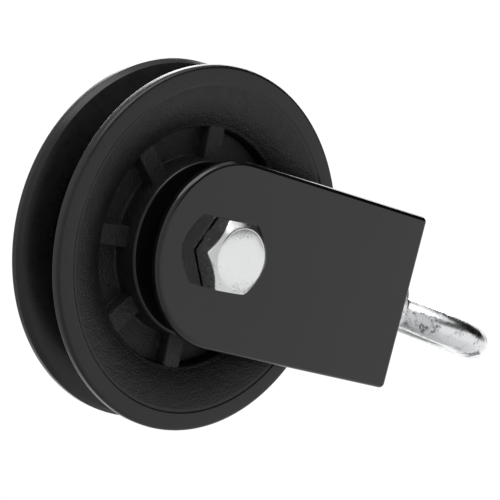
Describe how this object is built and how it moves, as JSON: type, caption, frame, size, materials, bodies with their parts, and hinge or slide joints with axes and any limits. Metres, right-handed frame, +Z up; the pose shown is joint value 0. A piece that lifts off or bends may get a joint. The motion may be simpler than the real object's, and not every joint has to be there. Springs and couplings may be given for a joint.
{
  "type": "single sheave pulley block",
  "caption": "Single sheave block: grooved nylon wheel on ball bearings in a bent steel bracket, with a hexagon bolt as axle and a swivelling eye bolt to hang it by.",
  "frame": {"origin": "centre of the eye's hole, where the block hangs", "axes": "+Z up along the bracket from the wheel towards the eye, Y along the axle with the bolt head at -Y, X across the bracket"},
  "size_m": [0.09, 0.0523, 0.1577],
  "materials": {
    "wheel_nylon": "black moulded nylon, fine spark texture on the sides, smoother rims",
    "bracket_paint": "glossy black paint",
    "zinc_plate": "bright zinc plate",
    "eye_zinc": "forged and zinc plated, slightly mottled",
    "bearing_steel": "ground bearing steel",
    "cage_steel": "pressed steel",
    "shield_steel": "pressed steel, satin",
    "spacer_steel": "turned steel, zinc plated",
    "insert_nylon": "natural nylon"
  },
  "bodies": {
    "eye": {"eye_bolt": "eye_zinc", "swivel_nut": "zinc_plate", "swivel_nut_insert": "insert_nylon"},
    "washer": {"swivel_washer": "zinc_plate"},
    "block": {"bracket": "bracket_paint", "axle_bolt": "zinc_plate", "axle_washer": "zinc_plate", "axle_nut": "zinc_plate", "axle_nut_insert": "insert_nylon", "front_side_spacer": "spacer_steel", "rear_side_spacer": "spacer_steel", "front_bearing_inner_ring": "bearing_steel", "rear_bearing_inner_ring": "bearing_steel", "bearing_spacer": "spacer_steel"},
    "wheel": {"sheave_wheel": "wheel_nylon", "front_bearing_outer_ring": "bearing_steel", "rear_bearing_outer_ring": "bearing_steel", "front_bearing_shields": "shield_steel", "rear_bearing_shields": "shield_steel"},
    "front_ball_set": {"front_bearing_balls": "bearing_steel", "front_bearing_cage": "cage_steel"},
    "rear_ball_set": {"rear_bearing_balls": "bearing_steel", "rear_bearing_cage": "cage_steel"}
  },
  "joints": [
    {"name": "eye_rock", "type": "hinge", "parent": "eye", "child": "washer", "pos_m": [-0.00353, 0, -0.03095], "axis": [0, 1, 0], "range_deg": [0, 13]},
    {"name": "bracket_swivel", "type": "hinge", "parent": "washer", "child": "block", "pos_m": [-0.00353, 0, -0.03095], "axis": [0, 0, 1], "continuous": true},
    {"name": "wheel_spin", "type": "hinge", "parent": "block", "child": "wheel", "pos_m": [-0.00353, 0, -0.09095], "axis": [0, 1, 0], "continuous": true},
    {"name": "front_ball_spin", "type": "hinge", "parent": "block", "child": "front_ball_set", "pos_m": [-0.00353, -0.0046, -0.09095], "axis": [0, 1, 0], "continuous": true},
    {"name": "rear_ball_spin", "type": "hinge", "parent": "block", "child": "rear_ball_set", "pos_m": [-0.00353, 0.0046, -0.09095], "axis": [0, 1, 0], "continuous": true}
  ],
  "couplings": [
    {"joint": "front_ball_spin", "follows": "wheel_spin", "ratio": 0.63228},
    {"joint": "rear_ball_spin", "follows": "wheel_spin", "ratio": 0.63228}
  ]
}
